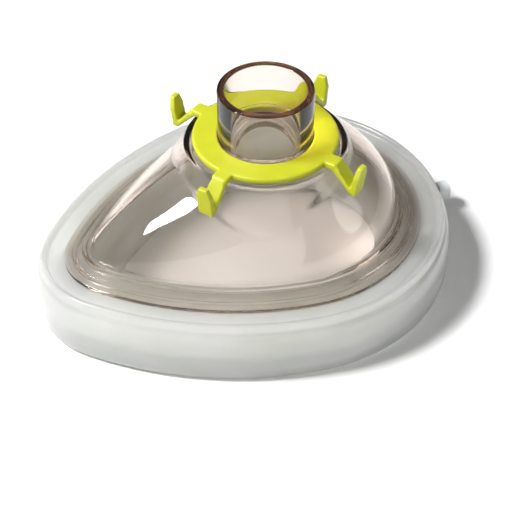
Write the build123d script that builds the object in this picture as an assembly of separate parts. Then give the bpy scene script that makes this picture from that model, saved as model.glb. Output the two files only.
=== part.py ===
from build123d import *

import math
import os
from dataclasses import dataclass

# Inflatable face mask of a bag valve resuscitator: a clear rigid dome with a 22 mm socket on
# top, a turning ring of four harness hooks, and an air-filled ring cushion with its inflation
# valve.
#
# Frame: millimetres, +Z up. The socket's axis is the Z axis, the cushion rests on the plane
# Z = 0, +X points to the wide chin end and -X to the narrow nose end. Apart from the hook ring,
# which stands turned, the mask is symmetric about the XZ plane.

# ---------------------------------------------------------------- driving dimensions

# cushion outline seen from above, an egg of four tangent arcs
NOSE_X = -68.3
CHIN_X = 53.7
NOSE_R = 25.5
CHIN_R = 50.0
SIDE_R = 98.0

# cushion section
CUSHION_W = 22.0
CUSHION_H = 17.0
CUSHION_WALL = 0.9
CUSHION_TOP_ROUND = 3.8
CUSHION_FOOT_ROUND = 6.3

# shell flange: each step is (inset from the cushion outline, top height)
FLANGE_STEPS = ((8.7, 18.3), (10.9, 19.8), (13.8, 21.3))
DOME_INSET = 15.8
DOME_FOOT_Z = FLANGE_STEPS[-1][1]
SHELL_WALL = 1.2

# dome crown: the outline that the dome closes in to, hidden in the top of the neck; the powers
# shape the way there, and the tuck makes the nose's ridge steeper next to the neck
CROWN_Z = 42.4
CROWN_NOSE_X = -22.5
CROWN_CHIN_X = 22.5
CROWN_NOSE_R = 18.5
CROWN_CHIN_R = 21.7
CROWN_SIDE_R = 26.0
DOME_SECTIONS = 7
NOSE_POWER = 1.21
NOSE_TUCK = 0.18
NOSE_TUCK_POWER = 8
CHIN_POWER = 1.87
SIDE_POWER = 1.6

# neck, the flared drum that carries the hook ring
NECK_TOP_R = 22.3
NECK_TOP_Z = 44.1
NECK_FOOT_R = 26.9
NECK_FOOT_Z = 36.0
NECK_ROUND = 0.8
NECK_WALL = 2.2

# port, a 22 mm socket
PORT_R = 13.2
PORT_BORE_R = 11.2
PORT_TOP_Z = 61.0
PORT_FOOT_Z = 38.0
PORT_WALL_BITE = 1.0
SOCKET_DEPTH = 21.0
THROAT_R = 9.25
RIM_FILLET = 0.45
BEAD_PROUD = 0.35
BEAD_ROOT = 0.5
BEAD_H = 0.8
BEAD_GAP = 0.1

# hook ring
RING_BORE_R = 13.28
RING_R = 20.2
RING_T = 2.0
RING_ROUND = 0.5
RING_LIFT = 0.05
RING_TURN = 33.0
HOOK_COUNT = 4
HOOK_REACH = 29.8
HOOK_KNEE_LOW_X = 22.4
HOOK_KNEE_TOP_X = 23.2
HOOK_DROP = 6.0
HOOK_W = 4.5
HOOK_TIP_W = 2.6
HOOK_T = 2.0
TAB_T = 1.6
TAB_H = 9.2
TAB_LEAN = 1.3
TAB_TAPER_H = 3.0

# inflation valve, on an axis that points to +X; u is the distance outwards from the chin
VALVE_Z = 6.0
SLEEVE_R = 2.9
SLEEVE_SPAN = (-7.0, 3.5)
SLEEVE_HOLE_REACH = 4.0
BARREL_R = 2.4
BARREL_FOOT_U = -6.5
HEAD_R = 2.75
HEAD_END_U = 7.2
HEAD_FILLET = 0.35
LUER_R = 2.05
LUER_FOOT_U = 3.6
LANDING_R = 1.7
SEAT_TOP_U = 2.5
SEAT_FOOT_U = 1.7
SEAT_R = 1.1
CHAMBER_R = 1.9
RETAINER_T = 1.2
RETAINER_HOLE_R = 0.65
RETAINER_AIR_HOLES = 4
AIR_HOLE_R = 0.3
AIR_HOLE_PCR = 1.2
SEAL_R = 1.6
SEAL_T = 0.6
STEM_R = 0.7
STEM_END_U = 3.4
POPPET_R = 1.5
POPPET_T = 0.8
TAIL_R = 0.6
TAIL_END_U = -5.9
SPRING_R = 1.25
SPRING_WIRE_R = 0.13
SPRING_TURNS = 6
FIT_GAP = 0.02
POPPET_TOP_U = SEAT_FOOT_U - SEAL_T - FIT_GAP


# ---------------------------------------------------------------- outline helper


@dataclass
class Egg:
    """A closed outline of four tangent arcs, symmetric about the X axis, nose towards -X."""

    nose_x: float
    chin_x: float
    nose_r: float
    chin_r: float
    side_r: float

    def inset(self, d):
        """The same outline moved inwards by d all round."""
        return Egg(self.nose_x + d, self.chin_x - d, self.nose_r - d, self.chin_r - d, self.side_r - d)

    def arcs(self, z=0.0):
        """The outline as four arcs at height z, anticlockwise: nose, near side, chin, far side."""
        nose_c = self.nose_x + self.nose_r
        chin_c = self.chin_x - self.chin_r
        to_nose = self.side_r - self.nose_r
        to_chin = self.side_r - self.chin_r
        span = chin_c - nose_c
        side_x = nose_c + (to_nose**2 - to_chin**2 + span**2) / (2 * span)
        side_y = -math.sqrt(to_nose**2 - (side_x - nose_c) ** 2)
        nose_a = math.atan2(-side_y, nose_c - side_x)
        chin_a = math.atan2(-side_y, chin_c - side_x)

        def on_side(angle, way):
            x = side_x + self.side_r * math.cos(angle)
            y = side_y + self.side_r * math.sin(angle)
            return (x, way * y, z)

        mid_a = (nose_a + chin_a) / 2
        far_nose, far_mid, far_chin = [on_side(a, 1) for a in (nose_a, mid_a, chin_a)]
        near_nose, near_mid, near_chin = [on_side(a, -1) for a in (nose_a, mid_a, chin_a)]
        return [
            ThreePointArc(far_nose, (self.nose_x, 0, z), near_nose),
            ThreePointArc(near_nose, near_mid, near_chin),
            ThreePointArc(near_chin, (self.chin_x, 0, z), far_chin),
            ThreePointArc(far_chin, far_mid, far_nose),
        ]

    def slab(self, low, high):
        """The outline filled and extruded from low to high."""
        return extrude(make_face(Wire(self.arcs(low))), high - low, dir=(0, 0, 1))


OUTLINE = Egg(NOSE_X, CHIN_X, NOSE_R, CHIN_R, SIDE_R)
DOME_FOOT = OUTLINE.inset(DOME_INSET)
CROWN = Egg(CROWN_NOSE_X, CROWN_CHIN_X, CROWN_NOSE_R, CROWN_CHIN_R, CROWN_SIDE_R)


def rod(r, low, high):
    """A plain round bar on the Z axis."""
    return Pos(0, 0, low) * Cylinder(r, high - low, align=(Align.CENTER, Align.CENTER, Align.MIN))


def tube(r_out, r_in, low, high):
    """A plain round tube on the Z axis."""
    return rod(r_out, low, high) - rod(r_in, low - 1, high + 1)


# ---------------------------------------------------------------- shell


def dome_outline(share):
    """The dome's outline at a share of its height, from its foot (0) to its crown (1)."""

    def mix(foot, crown, part):
        return foot + (crown - foot) * part

    nose = (1 + NOSE_TUCK) * share**NOSE_POWER - NOSE_TUCK * share**NOSE_TUCK_POWER
    return Egg(
        mix(DOME_FOOT.nose_x, CROWN.nose_x, nose),
        mix(DOME_FOOT.chin_x, CROWN.chin_x, share**CHIN_POWER),
        mix(DOME_FOOT.nose_r, CROWN.nose_r, share),
        mix(DOME_FOOT.chin_r, CROWN.chin_r, share**SIDE_POWER),
        mix(DOME_FOOT.side_r, CROWN.side_r, share),
    )


def dome_solid(inset, drop):
    """The dome filled in, moved inwards by inset and down by drop."""
    wires = []
    for i in range(DOME_SECTIONS):
        share = i / (DOME_SECTIONS - 1)
        z = DOME_FOOT_Z + (CROWN_Z - DOME_FOOT_Z) * share - drop
        wires.append(Wire(dome_outline(share).inset(inset).arcs(z)))
    return Solid.make_loft(wires, False)


def flange_solid(levels, inset, drop):
    """Steps of the flange filled in, moved inwards by inset and down by drop."""
    steps = None
    low = CUSHION_H - drop
    for step_inset, high in levels:
        step = OUTLINE.inset(step_inset + inset).slab(low, high - drop)
        steps = step if steps is None else steps + step
        low = high - drop
    return steps


def neck_drum(inset):
    """The flared drum under the hook ring filled in, moved inwards and down by inset."""
    drum = Solid.make_cone(NECK_FOOT_R - inset, NECK_TOP_R - inset, NECK_TOP_Z - NECK_FOOT_Z)
    drum = fillet(drum.edges().group_by(Axis.Z)[-1], NECK_ROUND)
    return Pos(0, 0, NECK_FOOT_Z - inset) * drum


def retaining_bead():
    """The small bead on the port that keeps the hook ring on."""
    z = NECK_TOP_Z + RING_LIFT + RING_T + BEAD_GAP + BEAD_H / 2
    section = Polyline(
        (PORT_R - BEAD_ROOT, 0, z - BEAD_H / 2),
        (PORT_R, 0, z - BEAD_H / 2),
        (PORT_R + BEAD_PROUD, 0, z),
        (PORT_R, 0, z + BEAD_H / 2),
        (PORT_R - BEAD_ROOT, 0, z + BEAD_H / 2),
        close=True,
    )
    return revolve(make_face(section), axis=Axis.Z)


def port():
    """The 22 mm socket: a tube with a ledge at its foot that stops the connector put into it."""
    ledge_z = PORT_TOP_Z - SOCKET_DEPTH
    socket = fillet(rod(PORT_R, PORT_FOOT_Z, PORT_TOP_Z).edges().group_by(Axis.Z)[-1], RIM_FILLET)
    socket = socket - rod(PORT_BORE_R, ledge_z, PORT_TOP_Z + 1)
    return socket - rod(THROAT_R, PORT_FOOT_Z - 1, ledge_z + 1)


def make_shell():
    """Dome, stepped flange, neck and port in one clear moulding, open below."""
    body = dome_solid(0.0, 0.0) + flange_solid(FLANGE_STEPS, 0.0, 0.0) + neck_drum(0.0)
    body = body - dome_solid(SHELL_WALL, SHELL_WALL)
    body = body - flange_solid(FLANGE_STEPS[1:], SHELL_WALL, SHELL_WALL)
    body = body - neck_drum(NECK_WALL)
    body = body - rod(PORT_R - PORT_WALL_BITE, PORT_FOOT_Z, NECK_TOP_Z + 1)
    return body + port() + retaining_bead()


# ---------------------------------------------------------------- hook ring


def make_hook():
    """One harness hook along +X: an arm that bends down past the neck, and its upright tab."""
    top = NECK_TOP_Z + RING_LIFT + RING_T
    root_x = (RING_BORE_R + RING_R) / 2
    side = Polyline(
        (root_x, 0, top),
        (HOOK_KNEE_TOP_X, 0, top),
        (HOOK_REACH - TAB_T, 0, top - HOOK_DROP),
        (HOOK_REACH - TAB_T + TAB_LEAN, 0, top - HOOK_DROP + TAB_H - HOOK_T),
        (HOOK_REACH + TAB_LEAN, 0, top - HOOK_DROP + TAB_H - HOOK_T),
        (HOOK_REACH, 0, top - HOOK_DROP - HOOK_T),
        (HOOK_REACH - TAB_T, 0, top - HOOK_DROP - HOOK_T),
        (HOOK_KNEE_LOW_X, 0, top - HOOK_T),
        (root_x, 0, top - HOOK_T),
        close=True,
    )
    blade = extrude(make_face(side), HOOK_W / 2, both=True, dir=(0, 1, 0))
    half, tip = HOOK_W / 2, HOOK_TIP_W / 2
    tip_z = top - HOOK_DROP + TAB_H - HOOK_T
    taper_z = tip_z - TAB_TAPER_H
    beyond = half + 2
    for way in (1, -1):
        corner = Polyline(
            (0, way * tip, tip_z + 1),
            (0, way * tip, tip_z),
            (0, way * half, taper_z),
            (0, way * beyond, taper_z),
            (0, way * beyond, tip_z + 1),
            close=True,
        )
        cutter = extrude(make_face(corner), HOOK_REACH, dir=(1, 0, 0))
        blade = blade - Pos(HOOK_KNEE_TOP_X, 0, 0) * cutter
    return blade


def make_hook_ring():
    """Flat ring with four hooks, loose enough on the port to turn."""
    low = NECK_TOP_Z + RING_LIFT
    ring = tube(RING_R, RING_BORE_R, low, low + RING_T)
    rims = ring.edges().filter_by(GeomType.CIRCLE).filter_by(lambda e: e.radius > RING_R - 0.01)
    ring = fillet(rims, RING_ROUND)
    hook = make_hook()
    for i in range(HOOK_COUNT):
        ring = ring + Rot(0, 0, RING_TURN + i * 360 / HOOK_COUNT) * hook
    return ring


# ---------------------------------------------------------------- cushion


def cushion_section(inset):
    """The cushion's section, moved inwards by inset: x outwards from the outline, y upwards."""
    wide, high = CUSHION_W - 2 * inset, CUSHION_H - 2 * inset
    face = Pos(-CUSHION_W / 2, CUSHION_H / 2) * Rectangle(wide, high)
    face = fillet(face.vertices().group_by(Axis.Y)[0], CUSHION_FOOT_ROUND - inset)
    return fillet(face.vertices().group_by(Axis.Y)[-1], CUSHION_TOP_ROUND - inset)


def ring_of(inset):
    """The cushion filled in, its section moved inwards by inset: one revolved piece for each arc."""
    ring = None
    for arc in OUTLINE.arcs():
        centre = arc.arc_center
        outwards = (arc @ 0 - centre).normalized()
        plane = Plane(origin=arc @ 0, x_dir=outwards, z_dir=outwards.cross(Vector(0, 0, 1)))
        turn = math.degrees(arc.length / arc.radius)
        piece = revolve(plane * cushion_section(inset), axis=Axis(centre, (0, 0, 1)), revolution_arc=turn)
        ring = piece if ring is None else ring + piece
    return ring


def make_cushion():
    """Hollow ring cushion with a hole in its chin wall for the valve sleeve."""
    cushion = ring_of(0.0) - ring_of(CUSHION_WALL)
    return cushion - on_valve_axis(rod(SLEEVE_R + FIT_GAP, -SLEEVE_HOLE_REACH, SLEEVE_HOLE_REACH))


# ---------------------------------------------------------------- inflation valve


def on_valve_axis(solid):
    """Moves a solid drawn on the Z axis (u upwards) to the valve's place on the chin."""
    return Pos(CHIN_X, 0, VALVE_Z) * (Rot(0, 90, 0) * solid)


def make_valve_sleeve():
    """Soft tube welded into the cushion's chin wall, which grips the valve."""
    return on_valve_axis(tube(SLEEVE_R, BARREL_R + FIT_GAP, *SLEEVE_SPAN))


def make_valve_body():
    """Valve housing: a luer socket outside, a seat, and the spring chamber inside the sleeve."""
    body = rod(BARREL_R, BARREL_FOOT_U, SLEEVE_SPAN[1]) + rod(HEAD_R, SLEEVE_SPAN[1], HEAD_END_U)
    body = fillet(body.edges().group_by(Axis.Z)[-1], HEAD_FILLET)
    body = body - rod(LUER_R, LUER_FOOT_U, HEAD_END_U + 1)
    body = body - rod(LANDING_R, SEAT_TOP_U, LUER_FOOT_U + FIT_GAP)
    body = body - rod(SEAT_R, SEAT_FOOT_U, SEAT_TOP_U + FIT_GAP)
    return on_valve_axis(body - rod(CHAMBER_R, BARREL_FOOT_U - 1, SEAT_FOOT_U))


def make_valve_retainer():
    """Pierced disc that closes the chamber, carries the spring and guides the plunger's tail."""
    top = BARREL_FOOT_U + RETAINER_T
    disc = tube(CHAMBER_R - FIT_GAP, RETAINER_HOLE_R, BARREL_FOOT_U, top)
    air_hole = Pos(AIR_HOLE_PCR, 0, 0) * rod(AIR_HOLE_R, BARREL_FOOT_U - 1, top + 1)
    for i in range(RETAINER_AIR_HOLES):
        disc = disc - Rot(0, 0, i * 360 / RETAINER_AIR_HOLES) * air_hole
    return on_valve_axis(disc)


def make_valve_seal():
    """Soft washer on the stem, between the poppet and the seat."""
    return on_valve_axis(tube(SEAL_R, STEM_R + FIT_GAP, SEAT_FOOT_U - SEAL_T, SEAT_FOOT_U - FIT_GAP))


def make_valve_plunger():
    """Stem that a syringe pushes, its poppet, and the tail that the retainer guides."""
    plunger = rod(STEM_R, POPPET_TOP_U, STEM_END_U)
    plunger = plunger + rod(POPPET_R, POPPET_TOP_U - POPPET_T, POPPET_TOP_U)
    return on_valve_axis(plunger + rod(TAIL_R, TAIL_END_U, POPPET_TOP_U - POPPET_T))


def make_valve_spring():
    """Compression spring between the retainer and the poppet."""
    low = BARREL_FOOT_U + RETAINER_T + SPRING_WIRE_R + FIT_GAP
    high = POPPET_TOP_U - POPPET_T - SPRING_WIRE_R - FIT_GAP
    line = Helix(pitch=(high - low) / SPRING_TURNS, height=high - low, radius=SPRING_R)
    wire = Plane(origin=line @ 0, z_dir=line % 0) * Circle(SPRING_WIRE_R)
    return on_valve_axis(Pos(0, 0, low) * sweep(wire, path=line, is_frenet=True))


# ---------------------------------------------------------------- files

PARTS = {
    "shell": make_shell,
    "hook_ring": make_hook_ring,
    "cushion": make_cushion,
    "valve_sleeve": make_valve_sleeve,
    "valve_body": make_valve_body,
    "valve_retainer": make_valve_retainer,
    "valve_seal": make_valve_seal,
    "valve_plunger": make_valve_plunger,
    "valve_spring": make_valve_spring,
}


def main():
    os.makedirs("parts", exist_ok=True)
    for name, make in PARTS.items():
        export_step(make(), f"parts/{name}.step")


main()
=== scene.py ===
import math

import bmesh
import bpy
from mathutils import Matrix, Vector


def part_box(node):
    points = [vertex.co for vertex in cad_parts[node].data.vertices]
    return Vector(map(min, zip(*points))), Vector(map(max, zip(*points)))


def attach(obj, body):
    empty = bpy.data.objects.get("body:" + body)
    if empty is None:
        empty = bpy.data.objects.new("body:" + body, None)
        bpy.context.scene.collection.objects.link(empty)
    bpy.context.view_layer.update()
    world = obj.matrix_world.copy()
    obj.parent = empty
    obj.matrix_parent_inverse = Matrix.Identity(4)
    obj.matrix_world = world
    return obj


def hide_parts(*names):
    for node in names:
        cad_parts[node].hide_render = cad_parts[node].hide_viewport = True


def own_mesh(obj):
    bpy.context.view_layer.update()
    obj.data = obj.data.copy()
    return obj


# The looks of an inflatable face mask: a tinted clear dome with a stepped flange and a port, a
# frosted air cushion, a lemon-yellow harness ring, and a small inflation valve on the chin.
# Sizes are in millimetres until a mesh is made; the frame is +Z up, +X towards the chin.

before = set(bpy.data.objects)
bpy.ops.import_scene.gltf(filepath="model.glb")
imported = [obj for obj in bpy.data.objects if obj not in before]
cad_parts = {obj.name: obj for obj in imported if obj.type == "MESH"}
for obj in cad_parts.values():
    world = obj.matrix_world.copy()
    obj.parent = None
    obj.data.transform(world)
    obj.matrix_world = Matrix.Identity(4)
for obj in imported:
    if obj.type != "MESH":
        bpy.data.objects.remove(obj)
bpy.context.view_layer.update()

MM = 0.001

# ------------------------------------------------------------------ sizes of the frame's parts

NOSE_X, CHIN_X = (corner.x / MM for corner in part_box("cushion"))
NOSE_R = 25.5
CHIN_R = 50.0
SIDE_R = 98.0
CUSHION_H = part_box("cushion")[1].z / MM

FLANGE_STEPS = ((8.7, 18.3), (10.9, 19.8), (13.8, 21.3))
DOME_INSET = 15.8
DOME_FOOT_Z = 21.3
SHELL_WALL = 1.2
CROWN_Z = 42.4
CROWN = (-22.5, 22.5, 18.5, 21.7, 26.0)
NOSE_POWER = 1.21
NOSE_TUCK = 0.18
NOSE_TUCK_POWER = 8
CHIN_POWER = 1.87
SIDE_POWER = 1.6

NECK_TOP_R = 22.3
NECK_TOP_Z = 44.1
NECK_FLARE = 4.6 / 8.1
NECK_WALL = 1.5
NECK_ROUND = 0.8
PORT_R = 13.2
PORT_BORE_R = 11.2
PORT_TOP_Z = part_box("shell")[1].z / MM
PORT_FOOT_Z = 38.0
SOCKET_DEPTH = 21.0
THROAT_R = 9.25
BEAD_Z = 46.65
BEAD_H = 0.8
BEAD_PROUD = 0.35

# how finely the outlines, the dome and the rounded corners are divided
ROUND = 288
DOME_ROWS = 26
OUTLINE_SAMPLES = 3000
BISECTIONS = 24
CORNER_STEPS = 4
CORNER_SHARE = 0.45


# ------------------------------------------------------------------ outlines


class Egg:
    """A closed outline of four tangent arcs, symmetric about the X axis, nose towards -X."""

    def __init__(self, nose_x, chin_x, nose_r, chin_r, side_r):
        self.sizes = (nose_x, chin_x, nose_r, chin_r, side_r)
        self.nose_c = nose_x + nose_r
        self.chin_c = chin_x - chin_r
        self.nose_r, self.chin_r, self.side_r = nose_r, chin_r, side_r
        to_nose = side_r - nose_r
        to_chin = side_r - chin_r
        span = self.chin_c - self.nose_c
        self.side_x = self.nose_c + (to_nose**2 - to_chin**2 + span**2) / (2 * span)
        self.side_y = math.sqrt(to_nose**2 - (self.side_x - self.nose_c) ** 2)
        self.nose_a = math.atan2(self.side_y, self.nose_c - self.side_x)
        self.chin_a = math.atan2(self.side_y, self.chin_c - self.side_x)

    def inset(self, d):
        """The same outline moved inwards by d all round."""
        nose_x, chin_x, nose_r, chin_r, side_r = self.sizes
        return Egg(nose_x + d, chin_x - d, nose_r - d, chin_r - d, side_r - d)

    def at(self, angle, z=0.0):
        """The point where the outline faces the given way, with angle from -pi to pi."""
        way = 1 if angle >= 0 else -1
        if abs(angle) > self.nose_a:
            x, y, r = self.nose_c, 0.0, self.nose_r
        elif abs(angle) < self.chin_a:
            x, y, r = self.chin_c, 0.0, self.chin_r
        else:
            x, y, r = self.side_x, -way * self.side_y, self.side_r
        return Vector((x + r * math.cos(angle), y + r * math.sin(angle), z))


OUTLINE = Egg(NOSE_X, CHIN_X, NOSE_R, CHIN_R, SIDE_R)


def even_angles(outline, count):
    """Facing angles that divide the outline into count nearly even stretches."""
    fine = [-math.pi + 2 * math.pi * i / OUTLINE_SAMPLES for i in range(OUTLINE_SAMPLES + 1)]
    run = [0.0]
    for a, b in zip(fine, fine[1:]):
        run.append(run[-1] + (outline.at(b) - outline.at(a)).length)
    angles = []
    i = 0
    for k in range(count):
        goal = run[-1] * k / count
        while run[i + 1] < goal:
            i += 1
        share = (goal - run[i]) / (run[i + 1] - run[i])
        angles.append(fine[i] + (fine[i + 1] - fine[i]) * share)
    return angles


# The angles are even along a line in the middle of the cushion's top.
EVEN_INSET = 10
ANGLES = even_angles(OUTLINE.inset(EVEN_INSET), ROUND)


# ------------------------------------------------------------------ mesh helpers


def soften(path, steps=CORNER_STEPS):
    """A 3-D path of (point, radius) with each corner of a radius turned into a small arc."""
    out = []
    count = len(path)
    for i, (p, radius) in enumerate(path):
        if radius == 0:
            out.append(p)
            continue
        before = path[i - 1][0] - p
        after = path[(i + 1) % count][0] - p
        start = p + before.normalized() * min(radius, before.length * CORNER_SHARE)
        end = p + after.normalized() * min(radius, after.length * CORNER_SHARE)
        for j in range(steps + 1):
            t = j / steps
            out.append(start * (1 - t) ** 2 + p * (2 * t * (1 - t)) + end * t**2)
    return out


def make_object(name, bm, smooth=True):
    """A linked object from a bmesh in millimetres."""
    bmesh.ops.recalc_face_normals(bm, faces=bm.faces)
    bmesh.ops.scale(bm, vec=(MM, MM, MM), verts=bm.verts)
    mesh = bpy.data.meshes.new(name)
    bm.to_mesh(mesh)
    bm.free()
    for face in mesh.polygons:
        face.use_smooth = smooth
    piece = bpy.data.objects.new(name, mesh)
    bpy.context.scene.collection.objects.link(piece)
    return piece


def skin(bm, rows, shut_round=True):
    """Quads between rows of points: each row is a closed path, and the rows may go round."""
    grid = [[bm.verts.new(p) for p in row] for row in rows]
    lines = len(grid) if shut_round else len(grid) - 1
    for i in range(lines):
        here, there = grid[i], grid[(i + 1) % len(grid)]
        for j in range(len(here)):
            k = (j + 1) % len(here)
            bm.faces.new((here[j], there[j], there[k], here[k]))
    return grid


# ------------------------------------------------------------------ shell


def dome_outline(share):
    """The dome's outline at a share of its height, from its foot (0) to its crown (1)."""
    foot = OUTLINE.inset(DOME_INSET).sizes
    nose = (1 + NOSE_TUCK) * share**NOSE_POWER - NOSE_TUCK * share**NOSE_TUCK_POWER
    parts = (nose, share**CHIN_POWER, share, share**SIDE_POWER, share)
    return Egg(*(a + (b - a) * part for a, b, part in zip(foot, CROWN, parts)))


def dome_point(angle, share, wall):
    """A point of the dome's outside (wall 0) or of its inside (wall thickness)."""
    z = DOME_FOOT_Z + (CROWN_Z - DOME_FOOT_Z) * share - wall
    return dome_outline(share).inset(wall).at(angle, z)


def neck_radius(z, inset):
    """The neck's radius at a height, for its outside (inset 0) or its inside (its wall)."""
    return NECK_TOP_R - inset + (NECK_TOP_Z - inset - z) * NECK_FLARE


def dome_meets_neck(angle, neck_inset, wall):
    """The share of the dome's height at which it reaches the neck, in its upper half."""
    low, high = 0.5, 1.0
    for _ in range(BISECTIONS):
        mid = (low + high) / 2
        point = dome_point(angle, mid, wall)
        if point.xy.length > neck_radius(point.z, neck_inset):
            low = mid
        else:
            high = mid
    return low


def round_at(angle, r, z):
    """A point of a circle round the port's axis."""
    return Vector((r * math.cos(angle), r * math.sin(angle), z))


# the flange's roundings: its steps, the feet of its steps, and how much tighter they are inside
STEP_ROUND = 0.55
STEP_FOOT_ROUND = 0.5
INNER_ROUND_LOSS = 0.2


def flange_line(angle, levels, wall):
    """The flange's steps as corners, from the outside inwards."""
    corners = []
    step_round = STEP_ROUND - wall * INNER_ROUND_LOSS
    for (inset, top), (next_inset, _) in zip(levels, levels[1:] + ((DOME_INSET, 0),)):
        corners.append((OUTLINE.inset(inset + wall).at(angle, top - wall), step_round))
        corners.append((OUTLINE.inset(next_inset + wall).at(angle, top - wall), STEP_FOOT_ROUND))
    return corners


DOME_TOP_ROUND = 0.5


def dome_line(angle, neck_inset, wall):
    """The dome from its foot to the neck, and the angle of the last point about the port's axis."""
    top = dome_meets_neck(angle, neck_inset, wall)
    line = [(dome_point(angle, top * i / DOME_ROWS, wall), 0) for i in range(1, DOME_ROWS)]
    last = dome_point(angle, top, wall)
    line.append((last, DOME_TOP_ROUND))
    return line, math.atan2(last.y, last.x)


def shell_section(angle):
    """One closed section of the moulding: up the outside, over the port and down the inside."""
    line = [(OUTLINE.inset(FLANGE_STEPS[0][0]).at(angle, CUSHION_H), 0.25)]
    line += flange_line(angle, FLANGE_STEPS, 0.0)
    dome, turn = dome_line(angle, 0.0, 0.0)
    line += dome
    ledge_z = PORT_TOP_Z - SOCKET_DEPTH
    for r, z, radius in (
        (NECK_TOP_R, NECK_TOP_Z, NECK_ROUND),
        (PORT_R, NECK_TOP_Z, 0.35),
        (PORT_R, BEAD_Z - BEAD_H / 2, 0.1),
        (PORT_R + BEAD_PROUD, BEAD_Z, 0.3),
        (PORT_R, BEAD_Z + BEAD_H / 2, 0.1),
        (PORT_R, PORT_TOP_Z, 0.5),
        (PORT_BORE_R, PORT_TOP_Z, 0.4),
        (PORT_BORE_R, ledge_z, 0.5),
        (THROAT_R, ledge_z, 0.4),
        (THROAT_R, PORT_FOOT_Z, 0.4),
        (PORT_R, PORT_FOOT_Z, 0.5),
        (PORT_R, NECK_TOP_Z - NECK_WALL, 0.6),
        (NECK_TOP_R - NECK_WALL, NECK_TOP_Z - NECK_WALL, 0.5),
    ):
        line.append((round_at(turn, r, z), radius))
    inner, _ = dome_line(angle, NECK_WALL, SHELL_WALL)
    line += list(reversed(inner))
    line += list(reversed(flange_line(angle, FLANGE_STEPS[1:], SHELL_WALL)))
    line.append((OUTLINE.inset(FLANGE_STEPS[1][0] + SHELL_WALL).at(angle, CUSHION_H), 0.2))
    return soften(line)


def make_shell():
    """Dome, flange, neck and port as one closed mesh."""
    bm = bmesh.new()
    skin(bm, [shell_section(a) for a in ANGLES])
    return make_object("dome_shell", bm)


# ------------------------------------------------------------------ cushion

# (inset from the outline, height, rounding): once round the film's section, from the flange out
CUSHION_SECTION = (
    (13.0, 16.9, 0.0),
    (9.6, 16.95, 0.6),
    (8.2, 17.6, 1.0),
    (5.6, 17.8, 1.5),
    (4.1, 17.3, 0.5),
    (3.4, 18.75, 0.5),
    (2.3, 18.75, 0.45),
    (1.9, 16.6, 0.4),
    (0.9, 15.6, 0.9),
    (0.1, 12.0, 2.6),
    (0.25, 8.6, 1.4),
    (-0.1, 5.0, 1.8),
    (0.35, 0.9, 1.1),
    (2.6, 0.0, 1.0),
    (16.0, 0.0, 2.5),
    (20.6, 2.4, 2.4),
    (22.2, 8.5, 4.0),
    (20.8, 15.0, 3.0),
    (17.0, 16.9, 1.6),
)
CUSHION_CORNER_STEPS = 5

# the hole in the film for the valve, a little inside the sleeve's wall, along X
VALVE_Z = 6.0
VALVE_BORE_R = 2.65
VALVE_BORE_X = (42.0, 60.0)
VALVE_BORE_SIDES = 48


def bore_for_valve(piece):
    """Cuts the hole in the film that the valve's sleeve is welded into."""
    bm = bmesh.new()
    start, end = VALVE_BORE_X
    middle = Matrix.Translation(((start + end) / 2, 0, VALVE_Z))
    bmesh.ops.create_cone(
        bm,
        cap_ends=True,
        segments=VALVE_BORE_SIDES,
        radius1=VALVE_BORE_R,
        radius2=VALVE_BORE_R,
        depth=end - start,
        matrix=middle @ Matrix.Rotation(math.pi / 2, 4, "Y"),
    )
    cutter = make_object("valve_cutter", bm)
    cut = piece.modifiers.new("valve_hole", "BOOLEAN")
    cut.operation = "DIFFERENCE"
    cut.object = cutter
    done = piece.evaluated_get(bpy.context.evaluated_depsgraph_get())
    mesh = bpy.data.meshes.new_from_object(done)
    piece.modifiers.clear()
    piece.data = mesh
    bpy.data.objects.remove(cutter)


def make_cushion():
    """The inflated ring, with the welded bead of its shoulder and the soft fold of its wall."""
    bm = bmesh.new()
    rows = []
    for angle in ANGLES:
        line = [(OUTLINE.inset(d).at(angle, z), radius) for d, z, radius in CUSHION_SECTION]
        rows.append(soften(line, CUSHION_CORNER_STEPS))
    skin(bm, rows)
    piece = make_object("air_cushion", bm)
    bore_for_valve(piece)
    return piece


# ------------------------------------------------------------------ harness ring

RING_VOXEL = 0.28
RING_SMOOTHING = 5
RING_SMOOTH_FACTOR = 0.5


def make_ring():
    """The harness ring with the rounded edges of a moulding, made from the frame's own ring."""
    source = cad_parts["hook_ring"]
    mesh = source.data.copy()
    mesh.transform(source.matrix_world)
    draft = bpy.data.objects.new("ring_draft", mesh)
    bpy.context.scene.collection.objects.link(draft)
    remesh = draft.modifiers.new("voxels", "REMESH")
    remesh.mode = "VOXEL"
    remesh.voxel_size = RING_VOXEL * MM
    rounding = draft.modifiers.new("rounding", "SMOOTH")
    rounding.factor = RING_SMOOTH_FACTOR
    rounding.iterations = RING_SMOOTHING
    done = draft.evaluated_get(bpy.context.evaluated_depsgraph_get())
    bm = bmesh.new()
    bm.from_mesh(done.to_mesh())
    bpy.data.objects.remove(draft)
    bmesh.ops.scale(bm, vec=(1 / MM, 1 / MM, 1 / MM), verts=bm.verts)
    return make_object("harness_ring", bm)


# ------------------------------------------------------------------ valve spring

SPRING_TURNS = 5.5
SPRING_WIRE_R = 0.15
SPRING_STEPS = 24
SPRING_ROUND = 10


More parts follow.
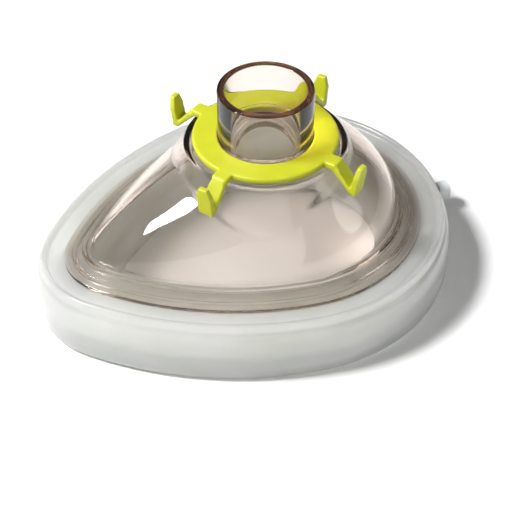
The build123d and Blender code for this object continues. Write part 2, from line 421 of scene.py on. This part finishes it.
def make_spring():
    """A drawn wire helix between the valve's retainer and its plunger, in the frame's own place."""
    low, high = (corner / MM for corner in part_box("valve_spring"))
    radius = (high.y - low.y) / 2 - SPRING_WIRE_R
    centre_y, centre_z = (low.y + high.y) / 2, (low.z + high.z) / 2
    start, end = low.x + SPRING_WIRE_R, high.x - SPRING_WIRE_R
    steps = int(SPRING_TURNS * SPRING_STEPS)
    line = []
    for i in range(steps + 1):
        turn = 2 * math.pi * SPRING_TURNS * i / steps
        x = start + (end - start) * i / steps
        y = centre_y + radius * math.cos(turn)
        z = centre_z + radius * math.sin(turn)
        line.append(Vector((x, y, z)))
    rows = []
    for i, point in enumerate(line):
        along = (line[min(i + 1, steps)] - line[max(i - 1, 0)]).normalized()
        out = Vector((0.0, point.y - centre_y, point.z - centre_z)).normalized()
        side = along.cross(out).normalized()
        row = []
        for j in range(SPRING_ROUND):
            a = 2 * math.pi * j / SPRING_ROUND
            row.append(point + (out * math.cos(a) + side * math.sin(a)) * SPRING_WIRE_R)
        rows.append(row)
    bm = bmesh.new()
    grid = skin(bm, rows, shut_round=False)
    bm.faces.new(grid[0])
    bm.faces.new(grid[-1])
    return make_object("spring_wire", bm)


# ------------------------------------------------------------------ materials


def new_material(name):
    """A new material with its tree and its Principled shader."""
    material = bpy.data.materials.new(name)
    material.use_nodes = True
    tree = material.node_tree
    shader = tree.nodes["Principled BSDF"]
    return material, tree, shader


def noise(tree, scale, detail=3.0):
    """A noise texture that follows the object's own coordinates."""
    place = tree.nodes.new("ShaderNodeTexCoord")
    texture = tree.nodes.new("ShaderNodeTexNoise")
    texture.inputs["Scale"].default_value = scale
    texture.inputs["Detail"].default_value = detail
    tree.links.new(place.outputs["Object"], texture.inputs["Vector"])
    return texture


def spread(tree, source, low, high, start=0.0, end=1.0):
    """Maps a value from start to end onto low to high."""
    node = tree.nodes.new("ShaderNodeMapRange")
    limits = {"From Min": start, "From Max": end, "To Min": low, "To Max": high}
    for name, value in limits.items():
        node.inputs[name].default_value = value
    tree.links.new(source, node.inputs["Value"])
    return node.outputs["Result"]


def height(tree, coordinates):
    """The Z of one of the Texture Coordinate node's outputs."""
    place = tree.nodes.new("ShaderNodeTexCoord")
    parts = tree.nodes.new("ShaderNodeSeparateXYZ")
    tree.links.new(place.outputs[coordinates], parts.inputs["Vector"])
    return parts.outputs["Z"]


def tint(tree, shader, source, low, high, start=0.0, end=1.0):
    """Colours a shader from low to high as source goes from start to end."""
    ramp = tree.nodes.new("ShaderNodeValToRGB")
    for element, position, color in zip(ramp.color_ramp.elements, (start, end), (low, high)):
        element.position = position
        element.color = (*color, 1.0)
    tree.links.new(source, ramp.inputs["Fac"])
    tree.links.new(ramp.outputs["Color"], shader.inputs["Base Color"])


def set_values(shader, **values):
    """Sets the shader's own sockets, named with underscores for spaces."""
    for name, value in values.items():
        shader.inputs[name.replace("_", " ")].default_value = value


def bump(tree, shader, source, distance, strength):
    """Fine relief from a texture."""
    node = tree.nodes.new("ShaderNodeBump")
    node.inputs["Distance"].default_value = distance
    node.inputs["Strength"].default_value = strength
    tree.links.new(source, node.inputs["Height"])
    tree.links.new(node.outputs["Normal"], shader.inputs["Normal"])


# how much light the clear shadows let through, below and above these heights in metres
VEIL_DOME, VEIL_PORT = 0.12, 0.78
VEIL_LOW, VEIL_HIGH = 0.040, 0.046


def let_light_through(tree, shader):
    """Thins the shadow of a refracting wall, which Cycles otherwise casts as if it were solid."""
    path = tree.nodes.new("ShaderNodeLightPath")
    veil = tree.nodes.new("ShaderNodeBsdfTransparent")
    share = spread(tree, height(tree, "Object"), VEIL_DOME, VEIL_PORT, VEIL_LOW, VEIL_HIGH)
    tree.links.new(share, veil.inputs["Color"])
    mix = tree.nodes.new("ShaderNodeMixShader")
    tree.links.new(path.outputs["Is Shadow Ray"], mix.inputs["Fac"])
    tree.links.new(shader.outputs["BSDF"], mix.inputs[1])
    tree.links.new(veil.outputs["BSDF"], mix.inputs[2])
    tree.links.new(mix.outputs["Shader"], tree.nodes["Material Output"].inputs["Surface"])


def tinted_clear():
    """Smoke-tinted rigid plastic: clear, with the tint in its depth."""
    material, tree, shader = new_material("tinted_clear")
    set_values(shader, Base_Color=(1.0, 1.0, 1.0, 1.0), Transmission_Weight=1.0, IOR=1.5)
    grain = noise(tree, 900.0)
    tree.links.new(spread(tree, grain.outputs["Fac"], 0.01, 0.06), shader.inputs["Roughness"])
    bump(tree, shader, noise(tree, 120.0, 1.0).outputs["Fac"], 0.0002, 0.08)
    depth = tree.nodes.new("ShaderNodeVolumeAbsorption")
    depth.inputs["Color"].default_value = (0.70, 0.50, 0.34, 1.0)
    depth.inputs["Density"].default_value = 170.0
    tree.links.new(depth.outputs["Volume"], tree.nodes["Material Output"].inputs["Volume"])
    let_light_through(tree, shader)
    return material


def frosted_film():
    """Soft translucent film, faintly green, with a slow drift of its tint and a fine grain."""
    material, tree, shader = new_material("frosted_film")
    drift = noise(tree, 45.0, 2.0)
    tint(tree, shader, drift.outputs["Fac"], (0.82, 0.85, 0.78), (0.92, 0.94, 0.89), 0.35, 0.65)
    set_values(
        shader,
        Transmission_Weight=0.5,
        IOR=1.35,
        Subsurface_Weight=1.0,
        Subsurface_Radius=(0.020, 0.020, 0.019),
        Subsurface_Scale=1.0,
        Coat_Weight=0.6,
        Coat_Roughness=0.15,
    )
    grain = noise(tree, 260.0)
    tree.links.new(spread(tree, grain.outputs["Fac"], 0.3, 0.44), shader.inputs["Roughness"])
    bump(tree, shader, noise(tree, 700.0, 2.0).outputs["Fac"], 0.0002, 0.12)
    return material


def yellow_plastic():
    """Lemon-yellow moulded plastic that lets a little light through."""
    material, tree, shader = new_material("yellow_plastic")
    cloud = noise(tree, 160.0)
    tint(tree, shader, cloud.outputs["Fac"], (0.43, 0.455, 0.014), (0.54, 0.565, 0.022))
    set_values(
        shader,
        Subsurface_Weight=0.25,
        Subsurface_Radius=(0.002, 0.002, 0.0004),
        Subsurface_Scale=1.0,
    )
    tree.links.new(spread(tree, cloud.outputs["Fac"], 0.3, 0.45), shader.inputs["Roughness"])
    bump(tree, shader, noise(tree, 1500.0).outputs["Fac"], 0.0001, 0.1)
    return material


GRAIN_DARKENING = 0.9
GRAIN_SHINE = (0.8, 1.2)


def moulded(name, color, rough, metallic=0.0):
    """Plain moulded plastic, rubber or wire with a fine grain."""
    material, tree, shader = new_material(name)
    grain = noise(tree, 1200.0)
    tint(tree, shader, grain.outputs["Fac"], [c * GRAIN_DARKENING for c in color], color)
    shine = spread(tree, grain.outputs["Fac"], *(rough * part for part in GRAIN_SHINE))
    tree.links.new(shine, shader.inputs["Roughness"])
    set_values(shader, Metallic=metallic)
    return material


def dress(piece, material):
    """Gives a piece one material in place of what it has."""
    piece.data.materials.clear()
    piece.data.materials.append(material)


# ------------------------------------------------------------------ the object

shell = make_shell()
dress(shell, tinted_clear())
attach(shell, "mask")
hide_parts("shell")

film = frosted_film()
cushion = make_cushion()
dress(cushion, film)
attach(cushion, "mask")
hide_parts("cushion")

ring = make_ring()
dress(ring, yellow_plastic())
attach(ring, "hook_ring")
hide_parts("hook_ring")

dress(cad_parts["valve_sleeve"], film)
white = moulded("valve_plastic", (0.80, 0.82, 0.83), 0.35)
dress(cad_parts["valve_body"], white)
dress(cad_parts["valve_retainer"], white)
dress(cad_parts["valve_plunger"], moulded("plunger_plastic", (0.85, 0.85, 0.82), 0.35))
dress(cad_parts["valve_seal"], moulded("seal_rubber", (0.03, 0.03, 0.032), 0.6))

spring = make_spring()
dress(spring, moulded("spring_steel", (0.6, 0.61, 0.63), 0.3, metallic=1.0))
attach(spring, "mask")
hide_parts("valve_spring")
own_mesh(spring)


# ------------------------------------------------------------------ stage, light and camera

# the camera: degrees, millimetres, and the lens's millimetres on a 36 mm sensor
AZIMUTH = -24.4
ELEVATION = 42.06
DISTANCE = 416.5
SENSOR = 36.0
LENS = 103.94
AIM = Vector((-8.0, 0.0, 25.0))
AIM_RIGHT = 4.67
AIM_UP = -15.72

FLOOR_SIZE = 1500

# the sky's strength at the horizon and overhead, and the heights between which it changes
SKY_LOW, SKY_HIGH = 0.12, 0.19
SKY_START, SKY_END = 0.1, 0.6

# name: place and aim, width and depth, all in metres, then watts, and whether its edge is round
LIGHTS = {
    "key": ((-0.52, 0.17, 0.76), (0, 0, 0.02), 0.26, 0.2, 13.0, False),
    "fill": ((0.78, -0.55, 0.34), (0, 0, 0.03), 0.5, 0.45, 1.3, True),
    "front": ((-0.55, -0.78, 0.3), (0, 0, 0.01), 1.4, 0.6, 2.4, False),
}


def make_floor():
    """A pale matt floor."""
    bm = bmesh.new()
    bmesh.ops.create_grid(bm, x_segments=2, y_segments=2, size=FLOOR_SIZE)
    floor = make_object("floor", bm, smooth=False)
    material, _, shader = new_material("paper_floor")
    set_values(shader, Base_Color=(0.9, 0.9, 0.9, 1.0), Roughness=0.9, Specular_IOR_Level=0.1)
    dress(floor, material)


def make_world():
    """A white studio that is dim at the horizon and bright overhead."""
    world = bpy.data.worlds.new("studio")
    world.use_nodes = True
    tree = world.node_tree
    sky = spread(tree, height(tree, "Generated"), SKY_LOW, SKY_HIGH, SKY_START, SKY_END)
    tree.links.new(sky, tree.nodes["Background"].inputs["Strength"])
    tree.nodes["Background"].inputs["Color"].default_value = (1.0, 1.0, 1.0, 1.0)
    bpy.context.scene.world = world


def softbox(name, place, aim, width, depth, power, round_edge):
    """An area light that faces aim, square cut or with a round edge."""
    light = bpy.data.lights.new(name, "AREA")
    light.shape = "ELLIPSE" if round_edge else "RECTANGLE"
    light.size = width
    light.size_y = depth
    light.energy = power
    lamp = bpy.data.objects.new(name, light)
    lamp.location = place
    lamp.rotation_euler = (Vector(aim) - Vector(place)).to_track_quat("-Z", "Y").to_euler()
    bpy.context.scene.collection.objects.link(lamp)


def make_camera():
    """The camera, at the angle and distance given above."""
    a, e = math.radians(AZIMUTH), math.radians(ELEVATION)
    towards = Vector((math.sin(a) * math.cos(e), -math.cos(a) * math.cos(e), math.sin(e)))
    right = Vector((math.cos(a), math.sin(a), 0.0))
    up = towards.cross(right)
    target = AIM + right * AIM_RIGHT + up * AIM_UP
    data = bpy.data.cameras.new("camera")
    data.sensor_width = SENSOR
    data.lens = LENS
    data.clip_start = 0.01
    data.clip_end = 20.0
    camera = bpy.data.objects.new("camera", data)
    basis = Matrix((right, up, towards)).transposed().to_4x4()
    basis.translation = (target + towards * DISTANCE) * MM
    camera.matrix_world = basis
    bpy.context.scene.collection.objects.link(camera)
    bpy.context.scene.camera = camera


make_floor()
make_world()
for name, settings in LIGHTS.items():
    softbox(name, *settings)
make_camera()
bpy.context.scene.view_settings.view_transform = "Standard"
